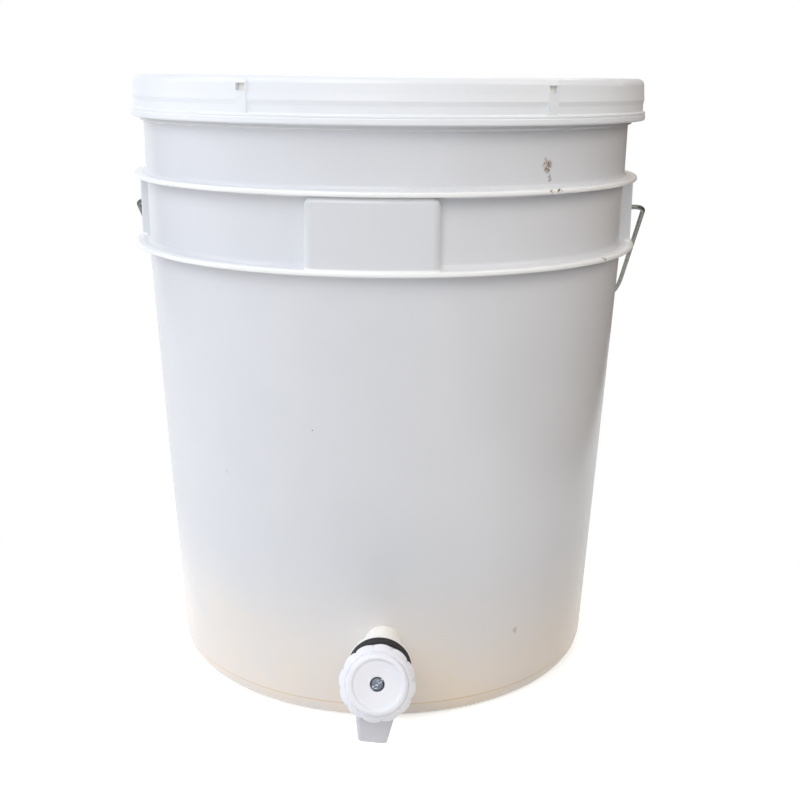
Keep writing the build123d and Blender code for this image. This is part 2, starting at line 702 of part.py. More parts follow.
def main():
    os.makedirs("parts", exist_ok=True)
    pieces = {
        "pail_body": pail_body(),
        "pail_lid": pail_lid(),
        "lid_gasket": lid_gasket(),
        "bail_wire": bail_wire(),
        "bail_grip": bail_grip(),
        "tap_connector": tap_connector(),
        "tap_body": tap_body(),
        "tap_inner_seal": inner_seal(),
    }
    pieces.update(tap_pieces())
    for name, piece in pieces.items():
        export_step(piece, f"parts/{name}.step")
        print(name, "volume", round(piece.volume), "mm3")


main()
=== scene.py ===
# %% [markdown]
# # A pail with a tap
#
# The object is a white 20 litre pail with a press-on lid, a wire bail and a screw-down tap, of the kind
# that honey is bottled from. Its solids come from a CAD model and arrive here as a fixed frame, in metres.
# This lesson gives every solid its real finish, and makes the small moulded details in Geometry Nodes.

# %% Load the solids
import json
from math import cos, pi, radians, sin

import bmesh
import bpy
from mathutils import Matrix, Vector


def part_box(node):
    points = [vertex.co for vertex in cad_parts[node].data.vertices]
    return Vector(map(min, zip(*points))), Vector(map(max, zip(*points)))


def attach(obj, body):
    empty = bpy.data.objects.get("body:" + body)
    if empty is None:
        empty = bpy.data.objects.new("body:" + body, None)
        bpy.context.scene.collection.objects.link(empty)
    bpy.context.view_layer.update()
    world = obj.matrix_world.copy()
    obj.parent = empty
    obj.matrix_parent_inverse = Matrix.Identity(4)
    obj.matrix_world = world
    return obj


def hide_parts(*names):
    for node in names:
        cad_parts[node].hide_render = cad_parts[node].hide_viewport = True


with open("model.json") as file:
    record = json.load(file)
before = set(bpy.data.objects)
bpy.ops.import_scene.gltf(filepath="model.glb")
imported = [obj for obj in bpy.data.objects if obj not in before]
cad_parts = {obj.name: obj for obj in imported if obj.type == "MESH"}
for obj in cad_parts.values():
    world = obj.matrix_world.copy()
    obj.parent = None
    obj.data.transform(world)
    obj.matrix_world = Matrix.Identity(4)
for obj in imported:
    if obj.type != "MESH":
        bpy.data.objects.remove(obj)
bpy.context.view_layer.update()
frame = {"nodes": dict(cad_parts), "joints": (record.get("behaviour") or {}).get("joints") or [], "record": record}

MM = 0.001
nodes = frame["nodes"]

# %% [markdown]
# ## Helpers for colour and nodes
#
# Colours are written as the hex values that a screen shows, and one function turns them into the linear
# values that a shader needs. A second function adds a node, so that each material below reads as a list of
# what goes into it.

# %% Colour and node helpers
def linear(hex_colour):
    """An sRGB hex colour as linear red, green, blue and alpha."""
    channels = [int(hex_colour[i:i + 2], 16) / 255 for i in (1, 3, 5)]
    return [c / 12.92 if c <= 0.04045 else ((c + 0.055) / 1.055) ** 2.4 for c in channels] + [1.0]


def add(tree, kind, inputs=None, **settings):
    """Add a node, give it its settings, and fill or link its inputs."""
    made = tree.nodes.new(kind)
    for name, value in settings.items():
        setattr(made, name, value)
    for socket, value in (inputs or {}).items():
        if isinstance(value, bpy.types.NodeSocket):
            tree.links.new(value, made.inputs[socket])
        else:
            made.inputs[socket].default_value = value
    return made


def start_material(name):
    """A new material, its tree, its shader and the place on the object in metres."""
    material = bpy.data.materials.new(name)
    material.use_nodes = True
    tree = material.node_tree
    place = add(tree, "ShaderNodeTexCoord").outputs["Object"]
    return material, tree, tree.nodes["Principled BSDF"], place


def per(size_mm):
    """The texture scale whose pattern repeats about once in this many millimetres."""
    return 1 / (size_mm * MM)


print("white is", [round(c, 3) for c in linear("#FFFFFF")])

# %% [markdown]
# ## The camera
#
# The camera was fitted to the ellipses of the lid, the flanges and the foot. It stands at the height of the
# lid, less than a metre away, and looks a little down, so that the pail seems to narrow strongly.

# %% Camera
CAMERA_PLACE = Vector((0.03596, -0.7592, 0.3633))
CAMERA_DOWN = 15.09         # degrees below level
CAMERA_TURN = 1.95          # degrees to the left of straight ahead
CAMERA_ROLL = 0.55
LENS_MM = 54
SENSOR_MM = 36

camera = bpy.data.objects.new("camera", bpy.data.cameras.new("camera"))
bpy.context.scene.collection.objects.link(camera)
camera.data.lens = LENS_MM
camera.data.sensor_width = SENSOR_MM
camera.data.dof.use_dof = False
aim = Matrix.Rotation(radians(CAMERA_TURN), 4, "Z") @ Matrix.Rotation(radians(90 - CAMERA_DOWN), 4, "X")
camera.matrix_world = Matrix.Translation(CAMERA_PLACE) @ aim @ Matrix.Rotation(radians(CAMERA_ROLL), 4, "Z")
bpy.context.scene.camera = camera
print("camera looks along", [round(x, 3) for x in aim.to_3x3() @ Vector((0, 0, -1))])

# %% [markdown]
# ## Pail plastic
#
# The pail is moulded polyethylene, which leaves the mould with a soft gloss and a faint orange peel. Pail and
# lid share it, so the plain moulding comes first. The eye gets two things from it: clouds of slightly greyer
# white a hand's breadth apart, and a soft gloss on a skin that is never quite flat.

# %% Polyethylene
def moulded_polyethylene(name, white, cloud, roughness):
    """Injection-moulded polyethylene: clouded white, orange peel and a soft gloss."""
    material, tree, shader, place = start_material(name)
    clouds = add(tree, "ShaderNodeTexNoise", {"Vector": place, "Scale": per(70), "Detail": 3}).outputs["Fac"]
    grey = {"Value": clouds, "From Min": 0.4, "From Max": 0.75, "To Max": 0.5}
    shade = add(tree, "ShaderNodeMapRange", grey).outputs["Result"]
    clouded = {0: shade, 6: linear(white), 7: linear(cloud)}
    colour = add(tree, "ShaderNodeMix", clouded, data_type="RGBA").outputs[2]
    tree.links.new(colour, shader.inputs["Base Color"])
    peel = add(tree, "ShaderNodeTexNoise", {"Vector": place, "Scale": per(1.6), "Detail": 2}).outputs["Fac"]
    bump = add(tree, "ShaderNodeBump", {"Height": peel, "Strength": 0.2, "Distance": 0.02 * MM})
    tree.links.new(bump.outputs["Normal"], shader.inputs["Normal"])
    shader.inputs["Roughness"].default_value = roughness
    shader.inputs["IOR"].default_value = 1.54
    return material, tree, shader, place, colour


lid_finish = moulded_polyethylene("moulded polyethylene, lid", "#F1F4F8", "#ECF0F4", 0.34)[0]
print("made", lid_finish.name)

# %% [markdown]
# ## The pail's own layers
#
# The pail needs more than the lid. Each thing that the eye reads as real is a mask worked out from the place
# on the pail, and lays its own colour over the white. One function makes each layer.
#
# Polyethylene lets some light through, so the thin wall looks a little grey and the flanges, which are lit
# from both sides, look whiter. That light is painted into the flanges' colour; radius and height tell them apart.

# %% Whiter flanges, painted light
WALL_R = 148                # the plain wall stays inside this radius
BAND_MIDDLE = 285.6         # height halfway between the flanges
BAND_HALF = 18              # the flanges start this far above and below it


def whiten_flanges(tree, place, colour):
    """Whiten what stands out from the wall, as painted light, but for the band between the flanges."""
    axes = add(tree, "ShaderNodeSeparateXYZ", {0: place}).outputs
    level = add(tree, "ShaderNodeCombineXYZ", {"X": axes["X"], "Y": axes["Y"]}).outputs["Vector"]
    radius = add(tree, "ShaderNodeVectorMath", {0: level}, operation="LENGTH").outputs["Value"]
    beyond_wall = {"Value": radius, "From Min": WALL_R * MM, "From Max": (WALL_R + 2.5) * MM}
    raised = add(tree, "ShaderNodeMapRange", beyond_wall).outputs["Result"]
    height = {0: axes["Z"], 1: BAND_MIDDLE * MM}
    above_band = add(tree, "ShaderNodeMath", height, operation="SUBTRACT").outputs["Value"]
    off_band = add(tree, "ShaderNodeMath", {0: above_band}, operation="ABSOLUTE").outputs["Value"]
    beyond_band = {"Value": off_band, "From Min": (BAND_HALF - 0.5) * MM, "From Max": (BAND_HALF + 0.5) * MM}
    flanged = add(tree, "ShaderNodeMapRange", beyond_band).outputs["Result"]
    # painted light: the flanges are whitened for the light that passes through and falls on them
    painted_light_share = add(tree, "ShaderNodeMath", {0: raised, 1: flanged}, operation="MULTIPLY").outputs["Value"]
    whiter = {0: painted_light_share, 6: colour, 7: linear("#FBFCFC")}
    return add(tree, "ShaderNodeMix", whiter, data_type="RGBA").outputs[2]


print("the band is", 2 * BAND_HALF, "mm high")

# %% [markdown]
# The white turns cream towards the foot, most at the bottom. The height gives a smooth fade, and
# noise makes its upper edge uneven. On the small step above the foot a line of dirt has settled.

# %% Cream towards the foot
YELLOW_TOP = 105            # the yellow has faded out at this height
FOOT_STEP = 10.6            # height of the small step above the foot


def yellow_foot(tree, place, colour):
    """Lay an uneven yellow over the foot, and a line of dirt along its step."""
    patches = {"Vector": place, "Scale": per(45), "Detail": 4}
    rough_edge = add(tree, "ShaderNodeTexNoise", patches).outputs["Fac"]
    height = add(tree, "ShaderNodeSeparateXYZ", {0: place}).outputs["Z"]
    foot = {"Value": height, "From Min": 0, "From Max": YELLOW_TOP * MM, "To Min": 1.25, "To Max": 0}
    yellow = add(tree, "ShaderNodeMapRange", foot, interpolation_type="SMOOTHSTEP").outputs["Result"]
    uneven = {0: yellow, 1: rough_edge}
    cream_share = add(tree, "ShaderNodeMath", uneven, operation="MULTIPLY", use_clamp=True).outputs["Value"]
    creamy = {0: cream_share, 6: colour, 7: linear("#F8E8D3")}
    colour = add(tree, "ShaderNodeMix", creamy, data_type="RGBA").outputs[2]
    step = {0: height, 1: FOOT_STEP * MM}
    above = add(tree, "ShaderNodeMath", step, operation="SUBTRACT").outputs["Value"]
    off_step = add(tree, "ShaderNodeMath", {0: above}, operation="ABSOLUTE").outputs["Value"]
    settled = {"Value": off_step, "From Min": 0.2 * MM, "From Max": 0.9 * MM, "To Min": 0.55, "To Max": 0}
    dirt = add(tree, "ShaderNodeMapRange", settled, interpolation_type="SMOOTHSTEP").outputs["Result"]
    lined = {0: dirt, 6: colour, 7: linear("#E6C79B")}
    return add(tree, "ShaderNodeMix", lined, data_type="RGBA").outputs[2]


print("the foot is yellow up to", YELLOW_TOP, "mm")

# %% [markdown]
# Something brown has dried on the neck and on the flanges, and there are a few scuffs low on the wall. Each
# spot has a place, a size and a colour. Coarse noise tears its outline, and fine noise breaks it up into
# dots, as a dried splash is.

# %% Places of the spots
def on_pail(azimuth, radius, height):
    """A point from its angle right of the front in degrees, its radius and its height in millimetres."""
    turn = radians(azimuth)
    return Vector((radius * sin(turn), -radius * cos(turn), height)) * MM


NECK_R, FLANGE_R = 147, 154
STAIN, DRIED, SPECK, SCUFF = "#7C5D3C", "#9A8C7E", "#77716B", "#BDB3A6"
pail_spots = [
    (on_pail(38.3, NECK_R, 318.5), 4.6, STAIN),
    (on_pail(38.6, NECK_R, 312.0), 2.6, DRIED),
    (on_pail(37.0, FLANGE_R, 306.6), 2.2, STAIN),
    (on_pail(39.0, FLANGE_R, 306.2), 2.2, STAIN),
    (on_pail(55.5, FLANGE_R, 266.0), 2.4, DRIED),
    (on_pail(-37.5, 140, 145), 1.1, SPECK),
    (on_pail(38.0, 135, 47), 2.2, SCUFF),
    (on_pail(73.7, 134, 29), 2.6, SCUFF),
]
print("the largest stain is", round(pail_spots[0][0].z / MM), "mm up")

# %% Stains
def stain(tree, place, colour):
    """Lay every spot over the colour, with a torn outline and broken into grains."""
    wander = add(tree, "ShaderNodeTexNoise", {"Vector": place, "Scale": per(3), "Detail": 4}).outputs["Color"]
    centred = {0: wander, 1: (0.5, 0.5, 0.5)}
    shift = add(tree, "ShaderNodeVectorMath", centred, operation="SUBTRACT").outputs["Vector"]
    ragged = {0: shift, 1: (7 * MM, 7 * MM, 9 * MM), 2: place}
    torn_place = add(tree, "ShaderNodeVectorMath", ragged, operation="MULTIPLY_ADD").outputs["Vector"]
    grains = add(tree, "ShaderNodeTexNoise", {"Vector": place, "Scale": per(1.1), "Detail": 3}).outputs["Fac"]
    broken = {"Value": grains, "From Min": 0.4, "From Max": 0.54}
    grainy = add(tree, "ShaderNodeMapRange", broken).outputs["Result"]
    for centre, size_mm, paint in pail_spots:
        to_centre = {0: torn_place, 1: centre}
        away = add(tree, "ShaderNodeVectorMath", to_centre, operation="DISTANCE").outputs["Value"]
        fade = {"Value": away, "From Min": 0.35 * size_mm * MM, "From Max": size_mm * MM}
        fade.update({"To Min": 1, "To Max": 0})
        patch = add(tree, "ShaderNodeMapRange", fade, interpolation_type="SMOOTHSTEP").outputs["Result"]
        spot = add(tree, "ShaderNodeMath", {0: patch, 1: grainy}, operation="MULTIPLY").outputs["Value"]
        spotted = {0: spot, 6: colour, 7: linear(paint)}
        colour = add(tree, "ShaderNodeMix", spotted, data_type="RGBA").outputs[2]
    return colour


print("there are", len(pail_spots), "spots")

# %% [markdown]
# Tiny specks are scattered all over the wall. Placing them by hand would take a list as long as the lesson,
# so they are the few cells of a Voronoi pattern that a random number picks. With this last layer the pail's
# finish is put together.

# %% Specks and the whole finish
SPECK_APART = 16            # size of the Voronoi cells that may hold a speck


def speckle(tree, place, colour):
    """Lay a small dark dot in the middle of a few cells."""
    cells = add(tree, "ShaderNodeTexVoronoi", {"Vector": place, "Scale": per(SPECK_APART)}).outputs
    chance = add(tree, "ShaderNodeSeparateXYZ", {0: cells["Color"]}).outputs["X"]
    size = {"Value": chance, "From Min": 0.82, "From Max": 1, "To Min": 0, "To Max": 0.035}
    dot = add(tree, "ShaderNodeMapRange", size).outputs["Result"]
    inside = {0: cells["Distance"], 1: dot}
    speck = add(tree, "ShaderNodeMath", inside, operation="LESS_THAN").outputs["Value"]
    specked = {0: speck, 6: colour, 7: linear(SPECK)}
    return add(tree, "ShaderNodeMix", specked, data_type="RGBA").outputs[2]


plain_pail = moulded_polyethylene("moulded polyethylene, pail", "#E0E2E6", "#D9DCE0", 0.26)
pail_finish, pail_tree, pail_shader, pail_place, pail_colour = plain_pail
for layer in (whiten_flanges, yellow_foot, stain, speckle):
    pail_colour = layer(pail_tree, pail_place, pail_colour)
pail_tree.links.new(pail_colour, pail_shader.inputs["Base Color"])
print("made", pail_finish.name, "with", len(pail_tree.nodes), "nodes")

# %% [markdown]
# ## Tap plastics
#
# The tap's white pieces are polypropylene, a harder and slightly bluer white. The spout is painted greyer,
# as painted shade for the knob's shadow that falls on it. The neck is PVC, which goes creamy with age. Acetal
# is used where plastic slides on plastic. The eye gets a satin gloss from all of them, broken by the fine
# grain that spark erosion leaves in a mould. The real grain is finer than a tenth of a millimetre and would
# not show, so it is drawn about half a millimetre wide.

# %% Small mouldings
def satin_plastic(name, white, cloud, roughness, grain_mm):
    """A small moulding: slightly uneven white with a fine spark-eroded grain."""
    material, tree, shader, place = start_material(name)
    clouds = add(tree, "ShaderNodeTexNoise", {"Vector": place, "Scale": per(9), "Detail": 3}).outputs["Fac"]
    eroded = {"Vector": place, "Scale": per(grain_mm), "Detail": 2}
    grain = add(tree, "ShaderNodeTexNoise", eroded).outputs["Fac"]
    clouded = {0: clouds, 6: linear(white), 7: linear(cloud)}
    colour = add(tree, "ShaderNodeMix", clouded, data_type="RGBA").outputs[2]
    tree.links.new(colour, shader.inputs["Base Color"])
    dull = {"Value": grain, "To Min": roughness - 0.06, "To Max": roughness + 0.06}
    tree.links.new(add(tree, "ShaderNodeMapRange", dull).outputs["Result"], shader.inputs["Roughness"])
    bump = add(tree, "ShaderNodeBump", {"Height": grain, "Strength": 0.3, "Distance": 0.02 * MM})
    tree.links.new(bump.outputs["Normal"], shader.inputs["Normal"])
    shader.inputs["IOR"].default_value = 1.49
    return material


finishes = {
    "pail_plastic": pail_finish,
    "lid_plastic": lid_finish,
    "tap_plastic": satin_plastic("moulded polypropylene", "#F5F6FB", "#F0F1F7", 0.32, 0.5),
    # painted shade: the spout is greyer for the knob's shadow on it
    "spout_plastic": satin_plastic("moulded polypropylene, painted shade", "#DDDDE2", "#D5D5DB", 0.38, 0.5),
    "connector_plastic": satin_plastic("moulded PVC", "#FDFCF8", "#FAF8F1", 0.3, 0.6),
    "acetal": satin_plastic("turned acetal", "#E9E6DE", "#E2DED3", 0.42, 0.4),
    "grip_plastic": satin_plastic("moulded polyethylene, grip", "#E6E7E9", "#DDDFE2", 0.45, 0.7),
}
print("made", len(finishes), "plastics")

# %% [markdown]
# ## Rubber and metal
#
# Black nitrile rubber is matt, and pale dust stays in its pores. The lid's seal is a pale foam, so it looks
# soft and throws back no gloss at all; it is painted paler still, as painted light against the shade behind
# the lid's windows. The wire was dipped in zinc and has the dull spangle of its crystals, and the screws have
# a thin bright plating. Wire and screws are painted darker grey than zinc, as a painted reflection of a
# darker room.

# %% Rubber and foam
def nitrile_rubber():
    """Moulded black rubber, dull, with pale dust held in its pores."""
    material, tree, shader, place = start_material("moulded nitrile rubber")
    pores = add(tree, "ShaderNodeTexNoise", {"Vector": place, "Scale": per(0.9), "Detail": 5}).outputs["Fac"]
    held = {"Value": pores, "From Min": 0.52, "From Max": 0.8, "To Max": 0.3}
    dust = add(tree, "ShaderNodeMapRange", held).outputs["Result"]
    dusty = {0: dust, 6: linear("#151617"), 7: linear("#6A6A68")}
    colour = add(tree, "ShaderNodeMix", dusty, data_type="RGBA").outputs[2]
    tree.links.new(colour, shader.inputs["Base Color"])
    bump = add(tree, "ShaderNodeBump", {"Height": pores, "Strength": 0.4, "Distance": 0.05 * MM})
    tree.links.new(bump.outputs["Normal"], shader.inputs["Normal"])
    shader.inputs["Roughness"].default_value = 0.7
    shader.inputs["IOR"].default_value = 1.52
    return material


def gasket_foam():
    """Foamed rubber with open cells about a third of a millimetre across."""
    material, tree, shader, place = start_material("foamed rubber")
    foam = add(tree, "ShaderNodeTexVoronoi", {"Vector": place, "Scale": per(0.35)}).outputs["Distance"]
    # painted light: the foam is paler than it is, so that it still looks pale in the shade behind the lid's
    # windows
    pitted = {0: foam, 6: linear("#FBFAF6"), 7: linear("#F1EEE4")}
    colour = add(tree, "ShaderNodeMix", pitted, data_type="RGBA").outputs[2]
    tree.links.new(colour, shader.inputs["Base Color"])
    bump = add(tree, "ShaderNodeBump", {"Height": foam, "Strength": 0.5, "Distance": 0.1 * MM})
    tree.links.new(bump.outputs["Normal"], shader.inputs["Normal"])
    shader.inputs["Roughness"].default_value = 0.9
    return material


finishes["black_rubber"] = nitrile_rubber()
finishes["gasket_rubber"] = gasket_foam()
print("made", finishes["black_rubber"].name, "and", finishes["gasket_rubber"].name)

# %% Zinc-coated steel
def zinc_steel(name, bright, dark, roughness, crystal_mm):
    """Zinc-coated steel: crystals of slightly different grey, dulled by white rust."""
    material, tree, shader, place = start_material(name)
    crystals = add(tree, "ShaderNodeTexVoronoi", {"Vector": place, "Scale": per(crystal_mm)}).outputs["Color"]
    pick = add(tree, "ShaderNodeSeparateXYZ", {0: crystals}).outputs["X"]
    scuffs = add(tree, "ShaderNodeTexNoise", {"Vector": place, "Scale": per(0.8), "Detail": 4}).outputs["Fac"]
    spangle = {0: pick, 6: linear(bright), 7: linear(dark)}
    colour = add(tree, "ShaderNodeMix", spangle, data_type="RGBA").outputs[2]
    tree.links.new(colour, shader.inputs["Base Color"])
    dull = {"Value": scuffs, "To Min": roughness - 0.1, "To Max": roughness + 0.1}
    tree.links.new(add(tree, "ShaderNodeMapRange", dull).outputs["Result"], shader.inputs["Roughness"])
    bump = add(tree, "ShaderNodeBump", {"Height": scuffs, "Strength": 0.3, "Distance": 0.02 * MM})
    tree.links.new(bump.outputs["Normal"], shader.inputs["Normal"])
    shader.inputs["Metallic"].default_value = 1.0
    return material


# painted reflection: both greys are darker than zinc, for a darker room mirrored in the metal
finishes["galvanised_wire"] = zinc_steel("galvanised steel", "#8B8F87", "#6D716A", 0.38, 1.4)
finishes["screw_steel"] = zinc_steel("zinc-plated steel", "#6C737C", "#555B63", 0.3, 0.5)
for subpart in frame["record"]["subparts"]:
    nodes[subpart["node"]].material_slots[0].material = finishes[subpart["material_slot"]]

# %% [markdown]
# ## A lathe in Geometry Nodes
#
# The knob and the grip are turned shapes with something extra round their edge: lobes on the knob, and two
# parting lines on the grip. A node tree can turn a closed outline about an axis by sweeping it round a
# circle, round its corners on the way, and then push the outer surface in and out by a rule of the angle.
# The outline goes in as a small mesh whose points carry their own corner rounds.

# %% Run a tree and keep its mesh
def start_tree(name, sizes, has_mesh=True):
    """A geometry tree with named inputs, and its input and output nodes."""
    tree = bpy.data.node_groups.new(name, "GeometryNodeTree")
    tree.interface.new_socket("Geometry", in_out="OUTPUT", socket_type="NodeSocketGeometry")
    if has_mesh:
        tree.interface.new_socket("Geometry", in_out="INPUT", socket_type="NodeSocketGeometry")
    for label, kind in sizes.items():
        tree.interface.new_socket(label, in_out="INPUT", socket_type="NodeSocket" + kind)
    return tree, add(tree, "NodeGroupInput").outputs, add(tree, "NodeGroupOutput")


def finish_tree(tree, shape, material, out, smooth=True):
    """End a tree: real geometry, smooth or with flat faces, in its material."""
    real = add(tree, "GeometryNodeRealizeInstances", {"Geometry": shape}).outputs["Geometry"]
    if smooth:
        real = add(tree, "GeometryNodeSetShadeSmooth", {"Geometry": real}).outputs["Geometry"]
    coated = add(tree, "GeometryNodeSetMaterial", {"Geometry": real, "Material": material})
    tree.links.new(coated.outputs["Geometry"], out.inputs["Geometry"])


def grow(name, tree, sizes, place=Matrix.Identity(4), mesh=None):
    """Run a tree on a mesh and keep what it makes as a plain mesh, put in its place."""
    piece = bpy.data.objects.new(name, mesh or bpy.data.meshes.new(name))
    bpy.context.scene.collection.objects.link(piece)
    modifier = piece.modifiers.new("shape", "NODES")
    modifier.node_group = tree
    for item in tree.interface.items_tree:
        if item.in_out == "INPUT" and item.name in sizes:
            modifier[item.identifier] = sizes[item.name]
    made = bpy.data.meshes.new_from_object(piece.evaluated_get(bpy.context.evaluated_depsgraph_get()))
    piece.modifiers.remove(modifier)
    made.transform(place)
    shell = bmesh.new()
    shell.from_mesh(made)
    bmesh.ops.recalc_face_normals(shell, faces=shell.faces)
    shell.to_mesh(made)
    shell.free()
    piece.data = made
    print(name, "has", len(made.polygons), "faces")
    return piece


# %% Lathe tree
def lathe_tree():
    """Turn a closed outline (x is the radius, y the height below) about Z, with lobes round it."""
    sizes = {"Steps": "Int", "Corner Steps": "Int", "Lobes": "Int", "Lobe Height": "Float"}
    sizes.update({"Lobe Power": "Float", "Lobe From": "Float", "Lobe To": "Float", "Material": "Material"})
    tree, given, out = start_tree("turned piece", sizes)
    line = add(tree, "GeometryNodeMeshToCurve", {"Mesh": given["Geometry"]}).outputs["Curve"]
    round_off = add(tree, "GeometryNodeInputNamedAttribute", {"Name": "round"}, data_type="FLOAT")
    corners = {"Curve": line, "Radius": round_off.outputs["Attribute"], "Limit Radius": True}
    corners["Count"] = given["Corner Steps"]
    outline = add(tree, "GeometryNodeFilletCurve", corners, mode="POLY").outputs["Curve"]
    circle = {"Resolution": given["Steps"], "Radius": MM}
    rail = add(tree, "GeometryNodeCurvePrimitiveCircle", circle, mode="RADIUS").outputs["Curve"]
    turned = add(tree, "GeometryNodeCurveToMesh", {"Curve": rail, "Profile Curve": outline}).outputs["Mesh"]

    axes = add(tree, "ShaderNodeSeparateXYZ", {0: add(tree, "GeometryNodeInputPosition").outputs[0]}).outputs
    level = add(tree, "ShaderNodeCombineXYZ", {"X": axes["X"], "Y": axes["Y"]}).outputs["Vector"]
    radius = add(tree, "ShaderNodeVectorMath", {0: level}, operation="LENGTH").outputs["Value"]
    outwards = add(tree, "ShaderNodeVectorMath", {0: level}, operation="NORMALIZE").outputs["Vector"]
    angle = add(tree, "ShaderNodeMath", {0: axes["Y"], 1: axes["X"]}, operation="ARCTAN2").outputs["Value"]
    half = add(tree, "ShaderNodeMath", {0: given["Lobes"], 1: 0.5}, operation="MULTIPLY").outputs["Value"]
    phase = add(tree, "ShaderNodeMath", {0: angle, 1: half}, operation="MULTIPLY").outputs["Value"]
    wave = add(tree, "ShaderNodeMath", {0: phase}, operation="COSINE").outputs["Value"]
    hump = add(tree, "ShaderNodeMath", {0: wave}, operation="ABSOLUTE").outputs["Value"]
    lobe = add(tree, "ShaderNodeMath", {0: hump, 1: given["Lobe Power"]}, operation="POWER").outputs["Value"]
    band = {"Value": radius, "From Min": given["Lobe From"], "From Max": given["Lobe To"]}
    share = add(tree, "ShaderNodeMapRange", band, interpolation_type="SMOOTHSTEP").outputs["Result"]
    height = {0: lobe, 1: given["Lobe Height"]}
    tall = add(tree, "ShaderNodeMath", height, operation="MULTIPLY").outputs["Value"]
    push = add(tree, "ShaderNodeMath", {0: tall, 1: share}, operation="MULTIPLY").outputs["Value"]
    offset = add(tree, "ShaderNodeVectorMath", {0: outwards, "Scale": push}, operation="SCALE")
    moved = {"Geometry": turned, "Offset": offset.outputs["Vector"]}
    lobed = add(tree, "GeometryNodeSetPosition", moved).outputs["Geometry"]
    finish_tree(tree, lobed, given["Material"], out)
    return tree


def outline_mesh(name, points):
    """A closed outline from (radius, height, corner round) points in millimetres, for the lathe."""
    mesh = bpy.data.meshes.new(name)
    loop = [(i, (i + 1) % len(points)) for i in range(len(points))]
    mesh.from_pydata([((r - 1) * MM, -h * MM, 0) for r, h, _ in points], loop, [])
    rounds = mesh.attributes.new("round", "FLOAT", "POINT")
    rounds.data.foreach_set("value", [corner * MM for _, _, corner in points])
    return mesh


lathe = lathe_tree()
print("the lathe has", len(lathe.nodes), "nodes")

# %% [markdown]
# ## The knob
#
# Twelve broad lobes with narrow notches between them let wet fingers turn the tap. A smooth shoulder slopes
# up from them to a raised cap with a rounded rim, and its dish holds the screw. The axis comes from the joint
# that turns the knob, so the piece lies exactly where the CAD knob does.

# %% Knob sizes and axis
KNOB_TURN = -7.9            # angle of the first lobe, seen from the front
KNOB_BACK = -5.9            # heights are measured from the foot of the cap
NOTCH_R = 18.65             # radius at the bottom of a notch
LOBE_HEIGHT = 1.35
LOBE_FADE = 0.5             # the lobes fade out over this much of the shoulder
BROAD = 0.35                # a power below one makes the lobes broad and the notches narrow
SHOULDER_FALL = 1.7
CAP_R = 16.1
CAP_FRONT = 2.4
CAP_GROOVE = 0.9            # depth of the groove round the foot of the cap
DISH_R = 12.8
DISH_FLOOR = 0.6
COUNTERBORE_R = 3.8
SCREW_SEAT = -3.6
SCREW_WEB = 1.1             # plastic under the screw's washer
SCREW_HOLE_R = 2.2
HUB_R = 6.2
SKIN = 2.2

joints = {joint["name"]: joint for joint in frame["joints"]}
tap_axis = Vector(joints["knob_turn"]["axis"]).normalized()
across = Vector((0, 0, 1)).cross(tap_axis).normalized()
knob_frame = Matrix((across, tap_axis.cross(across), tap_axis)).transposed().to_4x4()
knob_frame.translation = joints["knob_turn"]["pos_m"]
print("the knob is", round(knob_frame.translation.z / MM, 1), "mm up")

# %% Knob
knob_outline = outline_mesh("knob outline", [
    (COUNTERBORE_R, KNOB_BACK, 0),
    (HUB_R, KNOB_BACK, 0.4),
    (HUB_R, -SKIN, 0.8),
    (NOTCH_R - SKIN, -SKIN, 0.8),
    (NOTCH_R - SKIN, KNOB_BACK, 0.3),
    (NOTCH_R, KNOB_BACK, 0.7),
    (NOTCH_R, -1.8 * SHOULDER_FALL, 0.6),
    (NOTCH_R - LOBE_FADE, -SHOULDER_FALL, 0.4),
    (CAP_R + 0.8, -0.4, 0.3),
    (CAP_R + 0.1, -0.4 - CAP_GROOVE, 0.2),
    (CAP_R, CAP_FRONT, 1.9),
    (DISH_R + 0.3, CAP_FRONT, 1.0),
    (DISH_R - 0.4, DISH_FLOOR, 0.9),
    (COUNTERBORE_R, DISH_FLOOR, 0.5),
    (COUNTERBORE_R, SCREW_SEAT, 0),
    (SCREW_HOLE_R, SCREW_SEAT, 0),
    (SCREW_HOLE_R, SCREW_SEAT - SCREW_WEB, 0),
    (COUNTERBORE_R, SCREW_SEAT - SCREW_WEB, 0),
])
knob = grow("lobed_knob", lathe, {
    "Steps": 432, "Corner Steps": 5, "Lobes": 12, "Lobe Height": LOBE_HEIGHT * MM, "Lobe Power": BROAD,
    "Lobe From": (NOTCH_R - LOBE_FADE) * MM, "Lobe To": NOTCH_R * MM, "Material": finishes["tap_plastic"],
}, knob_frame @ Matrix.Rotation(radians(KNOB_TURN), 4, "Z"), knob_outline)
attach(knob, "knob")
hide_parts("tap_knob")

# %% [markdown]
# The head of the screw in the knob is painted dark, as a painted reflection of a darker room. The eye gets
# bright streaks on both sides of the slot, which are painted highlights for light caught on the slot's edges.

# %% Screw with painted highlights
screw_tree = finishes["screw_steel"].node_tree
screw_shader = screw_tree.nodes["Principled BSDF"]
plain = screw_shader.inputs["Base Color"].links[0].from_socket
across_slot = (knob_frame.col[0].xyz - knob_frame.col[1].xyz).normalized()
screw_place = add(screw_tree, "ShaderNodeTexCoord").outputs["Object"]
to_axis = {0: screw_place, 1: knob_frame.translation}
from_axis = add(screw_tree, "ShaderNodeVectorMath", to_axis, operation="SUBTRACT").outputs["Vector"]
sideways = {0: from_axis, 1: across_slot}
side = add(screw_tree, "ShaderNodeVectorMath", sideways, operation="DOT_PRODUCT").outputs["Value"]
off_slot = add(screw_tree, "ShaderNodeMath", {0: side}, operation="ABSOLUTE").outputs["Value"]
near = {"Value": off_slot, "From Min": 0.7 * MM, "From Max": 1.5 * MM, "To Min": 1, "To Max": 0}
beside = add(screw_tree, "ShaderNodeMapRange", near).outputs["Result"]
